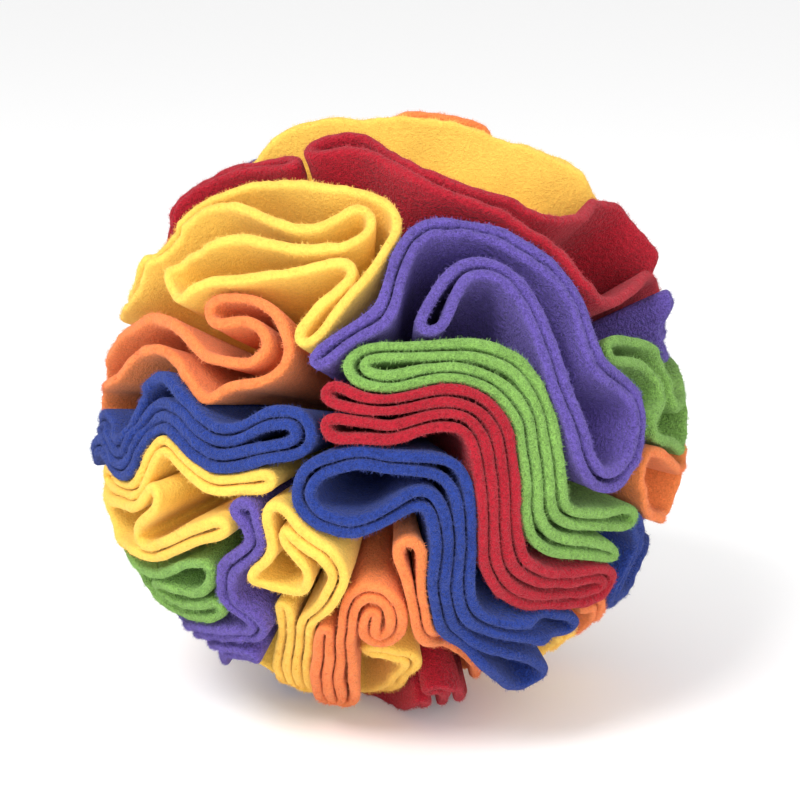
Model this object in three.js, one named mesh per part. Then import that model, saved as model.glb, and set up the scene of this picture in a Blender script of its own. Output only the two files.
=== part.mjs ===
// A ball of round fleece cloths for hiding dog treats in. Each cloth is pinched at its middle and
// stands out in deep folds, so its cut rim runs as one closed, meandering line over the ball.
// Millimetres, +Z up. The face of the ball looks along -Y. The origin is under the middle, on the floor.

import * as THREE from "three";

// Driving dimensions
const BALL_RADIUS = 80;
const CLOTH_RADIUS = 70;
const RIM_LENGTH = 2 * Math.PI * CLOTH_RADIUS;
const CLOTH_THICKNESS = 2.1;
const LAYER_PITCH = 2.95;
const FACE_TILT = THREE.MathUtils.degToRad(14);
const FLAT_SPOT_DEPTH = 3;
const POCKET_BOTTOM_RADIUS = 24;
const TIP_RADIUS = 12;
const TIP_THICKNESS = 0.06;

const COLOURS = {
  red: 0xbe2332,
  orange: 0xf06e32,
  yellow: 0xfdc832,
  green: 0x64b43c,
  blue: 0x2846a0,
  purple: 0x644bb4,
};

// The cloths, by hand. Places are measured with a tape over the ball, across and up from the middle
// of its face, or from the opposite point as seen from behind.
// A band is a cloth flattened into 2 or 4 layers. Its rows follow the middle of the layers, and its
// gaps are the openings between them. A ring is an open fold: its rows follow the rim itself.
const BAND_2 = ["across", "up", "gap"];
const BAND_4 = ["across", "up", "first gap", "middle gap", "last gap"];
const RING = ["across", "up"];

const CLOTHS = [
  { name: "purple_middle", side: "front", columns: BAND_2, rows: [
    [-18, 12, 1.6], [-12, 17, 0.6], [-5, 20, 0.1], [-1, 26, 0.1], [1, 33, 0.1], [3, 41, 0.1], [9, 46.5, 0.1],
    [17, 47.5, 0.1], [27, 46, 0.1], [37, 40, 0.1], [44, 34, 0.1], [49, 26, 0.1], [50, 17, 0.1], [53, 10, 0.1],
    [60, 7, 0.1], [66, 3, 0.2], [67, -6, 0.2], [64, -15, 0.3], [57, -19, 0.6], [50, -16, 0.5], [46, -6, 0.1],
    [42, 5, 0.1], [38, 16, 0.1], [34, 27, 0.1], [28, 35, 0.1], [21, 36.5, 0.2], [15, 32, 1], [8.5, 20, 2.8],
  ] },
  { name: "green_middle", side: "front", columns: BAND_4, ends: ["nested", "pairs"], rows: [
    [-6, 10, 0.2, 1.2, 0.2], [0, 9.8, 0.2, 1.4, 0.2], [9, 10.8, 0.3, 0.6, 0.1], [19, 11.5, 0.4, 0.9, 0.1],
    [26, 10, 0.3, 1.5, 0.1], [31.5, 6, 0.1, 0.5, 0.1], [35, 0, 0.1, 0.5, 0.1], [36.8, -10, 0.1, 0.3, 0.1],
    [38, -21, 0.1, 0.3, 0.3], [40, -29, 0.2, 0.6, 1.2], [45, -33, 0.3, 0.8, 0.8], [53, -33.5, 0.3, 1.2, 0.5],
    [60, -35.5, 1, 1.5, 0.4], [66, -37.5, 3, 3, 0.8],
  ] },
  { name: "red_middle", side: "front", columns: BAND_4, ends: ["pairs", "nested"], rows: [
    [-15, -0.5, 1.4, 0.2, 1.6], [-9, -1.2, 0.4, 0.2, 1.5], [-3, -2.4, 0.1, 0.8, 0.6], [1, -3.2, 0.1, 1.4, 0.1],
    [5, -1, 0.1, 0.2, 0.1], [10, 1.2, 0.1, 0.1, 0.1], [16, 1.4, 0.1, 0.1, 0.1], [21, -1, 0.1, 0.1, 0.1],
    [23.6, -6, 0.1, 0.1, 0.1], [24.5, -13, 0.1, 0.1, 0.1], [25.5, -21, 0.1, 0.1, 0.1], [26.6, -30, 0.1, 0.1, 0.1],
    [28, -38, 0.1, 0.1, 0.1], [31.5, -44.5, 0.2, 0.3, 0.2], [37.5, -48.5, 0.2, 0.6, 0.2], [45, -50, 0.1, 1, 0.1],
    [53, -50.5, 0.1, 1.6, 0.1], [60, -50, 0.1, 1, 0.1],
  ] },
  { name: "blue_middle", side: "front", columns: BAND_4, ends: ["nested", "pairs"], rows: [
    [-15, -20.5, 0.3, 9, 0.3], [-10, -20.5, 0.1, 12, 0.1], [-3, -19.5, 0.1, 10, 0.1], [3, -18, 0.1, 3, 1],
    [8, -17.2, 0.6, 0.8, 1.5], [12.5, -19.5, 1.6, 1.6, 0.6], [15, -25.5, 0.2, 0.2, 0.4], [16.3, -33, 0.1, 0.1, 0.3],
    [15.5, -43, 0.1, 0.1, 0.1], [15.5, -52, 0.1, 0.4, 0.1], [19, -59, 0.3, 1, 0.2], [26, -63, 0.6, 2, 1],
    [34, -65.5, 2, 3, 4.5], [42, -68.5, 3, 4, 7], [47, -71.5, 2.5, 5, 8],
  ] },
  { name: "blue_left", side: "front", columns: BAND_4, ends: ["nested", "pairs"], rows: [
    [-25, -5.5, 0.1, 2.2, 0.1], [-31, -6, 0.1, 2, 0.1], [-37, -9, 0.1, 0.5, 0.1], [-43, -10.2, 0.2, 0.3, 0.2],
    [-49, -9, 0.2, 0.2, 0.5], [-55, -4.5, 0.2, 0.2, 0.3], [-60, 0.5, 0.1, 0.2, 1], [-65, 1.5, 0.1, 0.2, 3.5],
    [-71, 0, 0.1, 0.2, 2], [-76, -6, 0.1, 0.2, 0.3], [-81, -13, 0.1, 0.2, 0.1], [-88, -16, 0.1, 0.2, 0.1],
    [-95, -12, 0.1, 0.2, 0.1], [-102, -7, 0.1, 0.3, 0.1], [-110, -8, 0.2, 1, 0.2], [-118, -12, 1, 2, 1],
  ] },
  { name: "yellow_left", side: "front", columns: BAND_2, open: true, rows: [
    [-32, -17.5, 1.2], [-38, -19.5, 0.4], [-44, -20.3, 0.1], [-49, -18.8, 0.1], [-54, -14, 0.1],
    [-59, -9.8, 0.1], [-64, -7.5, 0.1], [-69, -9, 0.1], [-73, -15, 0.1], [-76, -22, 0.2], [-82, -25, 0.2],
    [-90, -25, 0.2], [-98, -24, 0.2], [-108, -23, 0.2],
  ] },
  { name: "yellow_left_low", side: "front", columns: RING, open: true, rows: [
    [-110, -33], [-98, -30], [-88, -28.5], [-80, -28], [-74, -26], [-70, -21], [-66, -20], [-65.5, -24],
    [-69, -29], [-75, -33.5], [-80, -37], [-78, -41], [-71, -40], [-63, -36], [-55, -31.5], [-48, -29],
    [-43, -28], [-43, -31], [-48, -32.5], [-54, -34.5], [-61, -38], [-69, -43], [-77, -45], [-85, -44],
    [-94, -45], [-106, -48],
  ] },
  { name: "green_left_low", side: "front", columns: RING, open: true, rows: [
    [-97, -53], [-87, -53.5], [-78, -52.5], [-70, -49.5], [-63, -45], [-56, -42.5], [-51, -43], [-50, -47],
    [-54, -50], [-59, -55], [-66, -57.5], [-73, -56.5], [-79, -55], [-82, -58], [-77, -62], [-68, -63],
    [-60, -60.5], [-54, -57], [-51, -59], [-54, -63], [-62, -66.5], [-72, -68.5], [-84, -68], [-98, -66],
  ] },
  { name: "purple_left_low", side: "front", columns: BAND_2, open: true, rows: [
    [-38.8, -23, 0.9], [-37, -27, 0.4], [-35, -31, 0.1], [-33.8, -34, 0.1], [-37, -37.5, 0.1],
    [-43, -40, 0.1], [-47.5, -45, 0.1], [-49, -51, 0.1], [-46.5, -57, 0.1], [-41, -60, 0.1],
    [-38.3, -63.5, 0.1], [-42, -67.5, 0.1], [-50, -69, 0.1], [-59, -72, 0.1], [-69, -76, 0.2],
    [-80, -84, 0.3], [-92, -92, 0.4],
  ] },
  { name: "purple_left_foot", side: "front", columns: BAND_2, open: true, rows: [
    [-42.5, -77.5, 0.5], [-50, -77.5, 0.2], [-58, -81, 0.1], [-66, -88, 0.1], [-74, -98, 0.3],
  ] },
  { name: "yellow_low", side: "front", columns: RING, rows: [
    [-33, -101], [-31.6, -89], [-29.8, -78.5], [-27.8, -69.5], [-26, -62], [-23.5, -57], [-19.4, -53],
    [-15.8, -48.3], [-14.2, -42], [-15.5, -38.8], [-19, -36], [-23, -33.6], [-26, -30.8], [-28.3, -29.4],
    [-29.4, -31.5], [-27.3, -34.3], [-23.5, -37.2], [-21.3, -40.3], [-21.5, -44], [-24.5, -47.8],
    [-29, -49.5], [-34, -48], [-38.5, -44.3], [-39.5, -42], [-36.8, -40], [-33.5, -37.2], [-31.8, -33.5],
    [-32.2, -28.5], [-32, -24.5], [-30, -21.8], [-27.2, -23.5], [-24.8, -28.3], [-20.8, -31.8], [-16, -34],
    [-12.5, -37.5], [-11, -42], [-12.5, -46.5], [-16.5, -50.5], [-20.5, -55], [-22.8, -61], [-24.5, -69],
    [-26.5, -78], [-27.6, -89], [-28.4, -101], [-29.5, -108], [-34, -114], [-40, -112], [-42.5, -107],
    [-42, -101], [-39.4, -91], [-36.4, -79], [-34.2, -70], [-33.1, -62], [-33, -56], [-31.5, -53.5],
    [-30, -56], [-29.9, -62], [-30.8, -70], [-32.8, -79.5], [-35.3, -91], [-36.2, -101], [-35.5, -104.5],
    [-34, -104.5],
  ] },
  { name: "orange_low", side: "front", columns: BAND_2, open: true, rows: [
    [4.8, -36, 3.4], [6, -40, 2], [6.7, -46, 0.4], [7, -52, 0.1], [7.8, -58, 0.1], [11.2, -64.5, 0.1],
    [17.2, -70.5, 0.2], [24.2, -76.5, 0.5], [29.5, -84, 0.6], [33, -93, 0.6], [35.5, -103, 0.6],
  ] },
  { name: "orange_coil", side: "front", columns: BAND_2, rows: [
    [-4.6, -55, 0.4], [-6.6, -59, 0.1], [-6, -63.8, 0.1], [-2.5, -66, 0.1], [0.8, -63, 0.1],
    [1.4, -56, 0.1], [-0.5, -50, 0.1], [-5, -47.3, 0.1], [-9.8, -49.8, 0.1], [-12, -55.5, 0.2],
    [-13, -63, 0.4], [-13, -71, 0.8], [-13.5, -80, 1], [-14.6, -92, 1], [-15.2, -100, 0.5],
    [-17.5, -107, 0.5], [-22, -109, 0.5], [-25, -104, 0.5], [-24.3, -96, 0.6], [-22.4, -87, 0.8],
    [-20.6, -79, 0.8], [-19.6, -75, 0.8], [-19.3, -68, 0.3], [-18.8, -62, 0.1],
  ] },
  { name: "yellow_upper_left", side: "front", columns: RING, rows: [
    [-118, 46], [-108, 46], [-98, 45], [-88, 47], [-78, 52], [-68, 57.5], [-60, 62.5], [-52, 65], [-44, 65],
    [-34, 63.5], [-24, 61.5], [-14, 59], [-5, 56.5], [0, 53], [1.5, 48], [0, 42], [-4, 36], [-9, 30.5],
    [-14, 25.5], [-17.5, 21], [-20, 16.5], [-23, 15.5], [-25, 18.5], [-22.5, 23], [-18, 27.5], [-12.5, 31],
    [-10, 34.5], [-13, 37], [-20, 36.8], [-28, 35], [-36, 34], [-44, 34.5], [-51, 34.5], [-55, 31.5],
    [-59, 29.5], [-64, 31.5], [-67.5, 36], [-66.5, 40.5], [-61, 42.5], [-53, 44], [-44, 46], [-35, 43.5],
    [-26, 41.5], [-17, 41], [-10, 42], [-6.5, 46], [-6, 51], [-9.5, 53.5], [-14, 51], [-19, 47.5],
    [-25, 46.8], [-31, 48.5], [-38, 52.5], [-45, 57], [-52, 59.5], [-60, 57], [-68, 52], [-78, 46],
    [-88, 41], [-98, 38], [-108, 38], [-118, 40],
  ] },
  { name: "orange_left", side: "front", columns: RING, open: true, rows: [
    [-104, 9], [-94, 11], [-86, 16], [-78, 18.5], [-70, 18], [-64, 14.5], [-59, 9.5], [-55, 4.5],
    [-50.5, 2], [-47, 5], [-41, 7], [-34, 7], [-29, 9], [-27.5, 14], [-28.5, 20], [-31, 25], [-36, 28.5],
    [-42, 30], [-48, 30], [-52.5, 27.5], [-52.5, 24], [-48, 22.5], [-42, 24], [-36.5, 23], [-33.5, 19],
    [-33.5, 15], [-37, 12.5], [-42, 12.5], [-49, 13], [-55, 15], [-59, 19.5], [-64, 24], [-70, 26.5],
    [-77, 27.5], [-85, 26.5], [-94, 24], [-105, 22],
  ] },
  { name: "red_top_right", side: "front", columns: RING, open: true, rows: [
    [98, 52], [89, 46.5], [78, 39], [67, 32.5], [57, 30], [50, 34], [45, 41], [39, 46.5], [31.5, 52],
    [24, 56], [15, 58], [6, 62], [-2, 69], [-9, 73], [-17, 73.5], [-24, 71.5], [-27, 74.5], [-20, 78.5],
    [-12, 81], [-5, 77.5], [2, 69.5], [10, 64], [18.5, 61], [27, 60.5], [35, 57.5], [42, 55], [49, 56],
    [57, 60], [66, 68], [76, 77], [88, 80], [98, 74],
  ] },
  { name: "red_top_left", side: "front", columns: BAND_2, open: true, rows: [
    [-30, 74, 1], [-37, 77, 0.3], [-46, 78.5, 0.2], [-56, 78, 0.2], [-66, 74, 0.2], [-74, 67, 0.2],
    [-84, 60, 0.3], [-96, 58, 0.5], [-108, 60, 1], [-118, 64, 1],
  ] },
  { name: "yellow_top", side: "front", columns: BAND_2, open: true, rows: [
    [-106, 70, 1], [-96, 77, 0.4], [-84, 85, 0.2], [-70, 91, 0.2], [-60, 92, 0.2], [-48, 95, 0.2], [-34, 101, 0.2],
    [-18, 106, 0.2], [0, 107.5, 0.2], [18, 108, 0.2], [35, 106, 0.2], [52, 100, 0.2], [66, 92, 0.3], [80, 88, 0.6],
  ] },
  { name: "yellow_top_low", side: "front", reach: 67, columns: BAND_2, rows: [
    [-38, 86.5, 2], [-28, 88, 4], [-18, 91, 6], [-8, 92, 8], [2, 87, 9], [12, 83.5, 10], [24, 83, 10], [36, 80.5, 9],
    [47, 77, 8], [57, 77, 6], [66, 81, 2],
  ] },
  { name: "orange_top", side: "front", columns: BAND_2, open: true, rows: [
    [-20, 120, 1.5], [-10, 117, 0.4], [2, 121, 0.4], [14, 118, 0.4], [26, 119, 0.4], [38, 114, 0.5], [48, 114, 1],
  ] },
  { name: "purple_right", side: "front", columns: BAND_2, open: true, rows: [
    [98, 42, 1], [102, 34, 0.3], [105, 27, 0.3], [112, 24, 0.3], [122, 26, 1],
  ] },
  { name: "green_right", side: "front", columns: RING, open: true, rows: [
    [108, -13], [98, -10], [90, -9], [82, -8.5], [78, -5], [82, 0], [88, 3], [86, 9], [80, 14], [71, 14.5],
    [62, 14], [60, 18], [68, 20.5], [77, 21.5], [86, 21], [93, 16], [97, 9], [102, 2], [111, -1],
  ] },
  { name: "orange_right", side: "front", columns: RING, open: true, rows: [
    [101, -37], [92, -37], [85, -34], [79, -29], [75.5, -22], [74, -14], [80, -12.5], [88, -13.5],
    [96, -17], [104, -20],
  ] },
  { name: "blue_right", side: "front", columns: BAND_2, open: true, rows: [
    [76, -34, 1], [82, -40, 0.4], [84, -47, 0.5], [79, -54, 0.5], [75, -60, 0.5], [77, -68, 0.5],
    [86, -74, 0.5], [97, -78, 1],
  ] },
  { name: "orange_right_low", side: "front", columns: BAND_2, open: true, rows: [
    [60, -62.5, 0.6], [65, -62.5, 0.6], [70, -65.5, 0.6], [73, -72, 0.6], [78, -80, 0.6],
  ] },
  { name: "yellow_right_low", side: "front", columns: BAND_2, open: true, rows: [
    [56, -72, 1], [60, -79, 0.6], [64, -88, 0.6],
  ] },
  { name: "red_bottom", side: "front", columns: BAND_2, open: true, rows: [
    [12.5, -91.5, 1], [18.5, -92, 0.5], [21.5, -97, 0.5], [20.5, -105, 0.5],
  ] },
  { name: "yellow_bottom", side: "front", columns: BAND_2, open: true, rows: [
    [-6, -76.5, 1], [0, -78, 0.5], [6, -79.5, 0.4], [8, -86, 0.4], [5, -93, 0.5], [2, -102, 0.5],
  ] },
  { name: "red_left_low", side: "front", columns: BAND_2, open: true, rows: [
    [-90, -76.5, 0.6], [-100, -78, 0.5], [-110, -79, 0.5],
  ] },
  { name: "green_back", side: "back", columns: BAND_2, open: true, rows: [
    [-10, 60, 0.6], [0, 62, 0.6],
  ] },
  { name: "blue_back", side: "back", columns: BAND_2, open: true, rows: [
    [-2, 4, 0.6], [8, 7, 0.6],
  ] },
  { name: "red_back", side: "back", columns: BAND_2, open: true, rows: [
    [46, -2, 0.6], [48, 8, 0.6],
  ] },
  { name: "orange_back", side: "back", columns: BAND_2, open: true, rows: [
    [-22, -30, 0.6], [-12, -32, 0.6],
  ] },
  { name: "purple_back", side: "back", columns: BAND_2, open: true, rows: [
    [-55, 8, 0.6], [-54, 18, 0.6],
  ] },
  { name: "green_back_low", side: "back", columns: BAND_2, open: true, rows: [
    [8, -62, 0.6], [18, -60, 0.6],
  ] },
  { name: "yellow_back", side: "back", columns: BAND_2, open: true, rows: [
    [18, 34, 0.6], [28, 37, 0.6],
  ] },
  { name: "red_back_high", side: "back", columns: BAND_2, open: true, rows: [
    [-44, 68, 0.6], [-36, 74, 0.6],
  ] },
  { name: "blue_back_high", side: "back", columns: BAND_2, open: true, rows: [
    [30, 78, 0.6], [40, 74, 0.6],
  ] },
  { name: "purple_top", side: "back", columns: BAND_2, open: true, rows: [
    [-4, 99, 0.6], [6, 98, 0.6],
  ] },
  { name: "yellow_back_low", side: "back", columns: BAND_2, open: true, rows: [
    [-50, -52, 0.6], [-42, -58, 0.6],
  ] },
  { name: "orange_back_right", side: "back", columns: BAND_2, open: true, rows: [
    [78, 6, 0.6], [80, 16, 0.6],
  ] },
  { name: "green_back_middle", side: "back", columns: BAND_2, open: true, rows: [
    [12, -14, 0.6], [22, -12, 0.6],
  ] },
  { name: "red_back_left", side: "back", columns: BAND_2, open: true, rows: [
    [-22, 20, 0.6], [-12, 23, 0.6],
  ] },
  { name: "purple_right_low", side: "back", columns: BAND_2, open: true, rows: [
    [-92, -38, 0.6], [-82, -38, 0.6],
  ] },
];

// Settling
const STEP = 2;
const ANCHORED_REACH = 119;
const HOLD_FADE = 14;
const SETTLE_ROUNDS = 1200;
const GROWTH_SHARE = 0.6;
const START_SCALE = 0.6;

const ACROSS = new THREE.Vector3(1, 0, 0);
const FACE = new THREE.Vector3(0, -Math.cos(FACE_TILT), Math.sin(FACE_TILT));
const UP = new THREE.Vector3(0, Math.sin(FACE_TILT), Math.cos(FACE_TILT));

// The direction of a place on the ball, from its tape measures.
function directionAt(side, across, up) {
  const distance = Math.hypot(across, up);
  const angle = distance / BALL_RADIUS;
  const turn = side === "front" ? 1 : -1;
  const direction = FACE.clone().multiplyScalar(turn * Math.cos(angle));
  if (distance > 0) {
    direction.addScaledVector(ACROSS, (turn * Math.sin(angle) * across) / distance);
    direction.addScaledVector(UP, (Math.sin(angle) * up) / distance);
  }
  return direction;
}

// How far each layer of a band lies from the band's middle, by its openings.
function layerOffsets(gaps) {
  if (gaps.length === 1) {
    const half = (LAYER_PITCH + gaps[0]) / 2;
    return [half, -half];
  }
  const inner = (LAYER_PITCH + gaps[1]) / 2;
  return [inner + LAYER_PITCH + gaps[0], inner, -inner, -inner - LAYER_PITCH - gaps[2]];
}

const SAMPLES_PER_ROW = 8;
const RUN_ON_STEP = 5;
const RUN_ON_TAPER = 7;
const RUN_ON_HALF = LAYER_PITCH / 2 + 0.3;
const RUN_ON_SPARE = 0.2;
const RUN_ON_TURNS = 12;
const RUN_ON_TURN = THREE.MathUtils.degToRad(6);
const OWN_STEPS = 4;
const EVEN_SHARE = 0.8;
const OWN_REACH = 16;
const NEAR_DOT = Math.cos(34 / BALL_RADIUS);
const HUG_COST = 0.25;
const TURN_COST = 2.5;
const LOOK_COST = 0.7;
const CAP_SAMPLES = 8;

// Where a run-on goes from a place: straight on by a step, turned by an angle.
function stepOn(at, onward, angle) {
  const left = at.clone().cross(onward);
  const way = onward.clone().multiplyScalar(Math.cos(angle)).addScaledVector(left, Math.sin(angle));
  const turn = RUN_ON_STEP / BALL_RADIUS;
  const place = at.clone().multiplyScalar(Math.cos(turn)).addScaledVector(way, Math.sin(turn)).normalize();
  way.addScaledVector(place, -way.dot(place)).normalize();
  return { place, way };
}

function runOnHalf(run, step) {
  const share = Math.min(step / RUN_ON_TAPER, 1);
  return run.startHalf + (RUN_ON_HALF - run.startHalf) * share;
}

// How much room a run-on has to spare at a place, beside everything laid so far.
function roomAt(place, half, run, obstacles) {
  let room = 30;
  for (const obstacle of obstacles) {
    if (obstacle.run === run && obstacle.step > run.steps.length - OWN_STEPS) continue;
    if (obstacle.run && run.pair.includes(obstacle.run) && obstacle.step + run.steps.length < OWN_STEPS) continue;
    const isOwnStart = obstacle.cloth === run.cloth && obstacle.step < 0 && run.steps.length < OWN_STEPS;
    if (isOwnStart && obstacle.base > Math.cos(OWN_REACH / BALL_RADIUS)) continue;
    const dot = place.x * obstacle.at.x + place.y * obstacle.at.y + place.z * obstacle.at.z;
    if (dot < NEAR_DOT) continue;
    const spare = Math.acos(Math.min(1, dot)) * BALL_RADIUS - half - obstacle.half - LAYER_PITCH - RUN_ON_SPARE;
    if (spare < room) room = spare;
  }
  return room;
}

function nextStep(run, obstacles) {
  let best = null;
  for (let k = -RUN_ON_TURNS; k <= RUN_ON_TURNS; k++) {
    const angle = k * RUN_ON_TURN;
    let { place, way } = stepOn(run.at, run.way, angle);
    const half = runOnHalf(run, run.steps.length + 1);
    const room = roomAt(place, half, run, obstacles);
    if (room < 0) continue;
    let ahead = { place, way };
    let cost = Math.min(room, 6) * HUG_COST + angle * angle * TURN_COST + Math.abs(angle - run.lastTurn) * 0.5;
    for (let look = 1; look <= 4; look++) {
      ahead = stepOn(ahead.place, ahead.way, 0);
      const spare = roomAt(ahead.place, half, run, obstacles);
      if (spare < 1) cost += ((1 - spare) * LOOK_COST) / look;
    }
    if (!best || cost < best.cost) best = { place, way, angle, cost };
  }
  return best;
}

// Runs the open ends on over the rest of the ball, each beside its neighbours, until every cloth has
// its full rim or no room is left.
function runOnAll(plans) {
  const obstacles = [];
  for (const plan of plans) {
    plan.rim.forEach((at, k) => {
      if (k % 3 === 0) obstacles.push({ at, half: 0, cloth: plan.cloth, run: null, step: -1, base: -1 });
    });
  }
  const runs = plans.flatMap((plan) => plan.runs);
  for (const obstacle of obstacles) {
    for (const run of runs) {
      if (run.cloth === obstacle.cloth) obstacle.base = Math.max(obstacle.base, obstacle.at.dot(run.at));
    }
  }
  const missing = (run) => run.wanted - run.pair.reduce((sum, each) => sum + each.steps.length, 0);
  let going = true;
  while (going) {
    going = false;
    const open = runs.filter((run) => !run.done && missing(run) > 0);
    const most = Math.max(...open.map(missing));
    for (const run of open) {
      if (missing(run) < most * EVEN_SHARE) {
        going = true;
        continue;
      }
      const step = nextStep(run, obstacles);
      if (!step) {
        run.done = true;
        continue;
      }
      run.at = step.place;
      run.way = step.way;
      run.lastTurn = step.angle * 0.5;
      run.steps.push(step.place);
      const half = runOnHalf(run, run.steps.length);
      obstacles.push({ at: step.place, half, cloth: run.cloth, run, step: run.steps.length, base: -1 });
      going = true;
    }
  }
}

// The frames along a band's middle: place, way on, way to the left, and the layers' offsets.
function bandFrames(cloth, runs) {
  const rows = cloth.rows.map(([across, up]) => directionAt(cloth.side, across, up));
  const ahead = runs[1] ? runs[1].steps.slice().reverse() : [];
  const places = [...ahead, ...rows, ...(runs[0] ? runs[0].steps : [])];
  const laid = rows.length - 1;
  const middle = new THREE.CatmullRomCurve3(places, false, "centripetal");
  const last = places.length - 1;
  const count = last * SAMPLES_PER_ROW;
  const frames = [];
  for (let i = 0; i <= count; i++) {
    const t = i / count;
    const at = middle.getPoint(t).normalize();
    const onward = middle.getTangent(t);
    onward.addScaledVector(at, -onward.dot(at)).normalize();
    const left = at.clone().cross(onward);
    const along = THREE.MathUtils.clamp(t * last - ahead.length, 0, laid);
    const row = Math.min(Math.floor(along), laid - 1);
    const share = along - row;
    const gaps = cloth.rows[row].slice(2).map((gap, k) => gap + (cloth.rows[row + 1][k + 2] - gap) * share);
    frames.push({ at, onward, left, offsets: layerOffsets(gaps) });
  }
  return frames;
}

function besideFrame(frame, sideways, ahead) {
  const place = frame.at.clone();
  place.addScaledVector(frame.left, sideways / BALL_RADIUS);
  place.addScaledVector(frame.onward, ahead / BALL_RADIUS);
  return place.normalize();
}

function layer(frames, index, forward) {
  const points = frames.map((frame) => besideFrame(frame, frame.offsets[index], 0));
  return forward ? points : points.reverse();
}

// The round turn at a band's end, from one layer to another.
function roundTurn(frame, from, to, way) {
  const start = frame.offsets[from];
  const end = frame.offsets[to];
  const middle = (start + end) / 2;
  const points = [];
  for (let i = 1; i < CAP_SAMPLES; i++) {
    const angle = (Math.PI * i) / CAP_SAMPLES;
    const sideways = middle + (start - middle) * Math.cos(angle);
    const ahead = way * Math.abs(start - middle) * Math.sin(angle);
    points.push(besideFrame(frame, sideways, ahead));
  }
  return points;
}

function bandRim(cloth, runs) {
  const frames = bandFrames(cloth, runs);
  const head = frames[0];
  const tail = frames[frames.length - 1];
  if (head.offsets.length === 2) {
    return [
      ...layer(frames, 0, true), ...roundTurn(tail, 0, 1, 1),
      ...layer(frames, 1, false), ...roundTurn(head, 1, 0, -1),
    ];
  }
  if (cloth.ends[0] === "nested") {
    return [
      ...layer(frames, 0, true), ...roundTurn(tail, 0, 1, 1),
      ...layer(frames, 1, false), ...roundTurn(head, 1, 2, -1),
      ...layer(frames, 2, true), ...roundTurn(tail, 2, 3, 1),
      ...layer(frames, 3, false), ...roundTurn(head, 3, 0, -1),
    ];
  }
  return [
    ...layer(frames, 0, true), ...roundTurn(tail, 0, 3, 1),
    ...layer(frames, 3, false), ...roundTurn(head, 3, 2, -1),
    ...layer(frames, 2, true), ...roundTurn(tail, 2, 1, 1),
    ...layer(frames, 1, false), ...roundTurn(head, 1, 0, -1),
  ];
}

function rimLength(places, closed) {
  let length = 0;
  for (let i = closed ? 0 : 1; i < places.length; i++) {
    length += places[i].distanceTo(places[(i + places.length - 1) % places.length]) * BALL_RADIUS;
  }
  return length;
}

function ringRim(cloth, run) {
  const places = cloth.rows.map(([across, up]) => directionAt(cloth.side, across, up));
  const count = cloth.rows.length * SAMPLES_PER_ROW;
  if (!run || run.steps.length < 2) {
    const rim = new THREE.CatmullRomCurve3(places, true, "centripetal");
    return rim.getPoints(count).slice(0, -1).map((point) => point.normalize());
  }
  const rim = new THREE.CatmullRomCurve3(places, false, "centripetal");
  const ring = rim.getPoints(count).map((point) => point.normalize());
  const spine = [run.base, ...run.steps];
  const frames = spine.map((at, k) => {
    const onward = (spine[k + 1] || at).clone().addScaledVector(spine[k - 1] || run.base, -1);
    onward.addScaledVector(at, -onward.dot(at)).normalize();
    const half = runOnHalf(run, k);
    return { at, onward, left: at.clone().cross(onward), offsets: [half, -half] };
  });
  const tail = frames[frames.length - 1];
  const side = places[places.length - 1].dot(frames[0].left) > 0 ? 0 : 1;
  const out = layer(frames.slice(1), side, true);
  const back = layer(frames.slice(1), 1 - side, false);
  return [...ring, ...out, ...roundTurn(tail, side, 1 - side, 1), ...back];
}

// Where an open cloth's run-ons start, how wide, and how many steps they want between them.
function planRuns(cloth, rim) {
  if (!cloth.open) return [];
  const places = cloth.rows.map(([across, up]) => directionAt(cloth.side, across, up));
  const count = places.length;
  const last = places[count - 1];
  const wanted = Math.round((RIM_LENGTH - rimLength(rim, true)) / 2 / RUN_ON_STEP);
  const makeRun = (base, way, startHalf) => {
    way.addScaledVector(base, -way.dot(base)).normalize();
    return { cloth, base, at: base, way, startHalf, wanted, steps: [], lastTurn: 0, done: false };
  };
  let runs = [];
  if (cloth.columns === RING) {
    const way = last.clone().sub(places[count - 2]).add(places[0]).sub(places[1]);
    runs = [makeRun(last.clone().add(places[0]).normalize(), way, (last.distanceTo(places[0]) * BALL_RADIUS) / 2)];
  } else {
    const half = layerOffsets(cloth.rows[count - 1].slice(2))[0];
    runs = [makeRun(last, last.clone().sub(places[count - 2]), half)];
    if (cloth.side === "back") runs.push(makeRun(places[0], places[0].clone().sub(places[1]), half));
  }
  for (const run of runs) run.pair = runs;
  return runs;
}

// Spaces a laid rim's points out, closer where the cloth still has length to give.
function spacedRim(cloth, laid) {
  const count = laid.length;
  const spans = laid.map((at, i) => at.distanceTo(laid[(i + 1) % count]) * BALL_RADIUS);
  const holds = laid.map((at) => {
    if (!cloth.open) return 1;
    return THREE.MathUtils.clamp((ANCHORED_REACH - at.angleTo(FACE) * BALL_RADIUS) / HOLD_FADE, 0, 1);
  });
  const anchored = holds.map((hold) => hold > 0);
  const length = spans.reduce((sum, span) => sum + span, 0);
  const free = spans.reduce((sum, span, i) => sum + (anchored[i] ? 0 : span), 0);
  const growth = free < 20 ? 1 : THREE.MathUtils.clamp(1 + (LEAST_RIM - length) / free, 1, MOST_GROWTH);
  const points = [];
  let due = 0;
  for (let i = 0; i < count; i++) {
    const next = laid[(i + 1) % count];
    const weight = (spans[i] * (anchored[i] ? 1 : growth)) / STEP;
    while (due < weight - 1e-6) {
      const place = laid[i].clone().lerp(next, due / weight).normalize();
      points.push({ place, hold: holds[i], growth: anchored[i] ? 1 : growth });
      due += 1;
    }
    due -= weight;
  }
  return { points, laidLength: length, growth };
}

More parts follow.
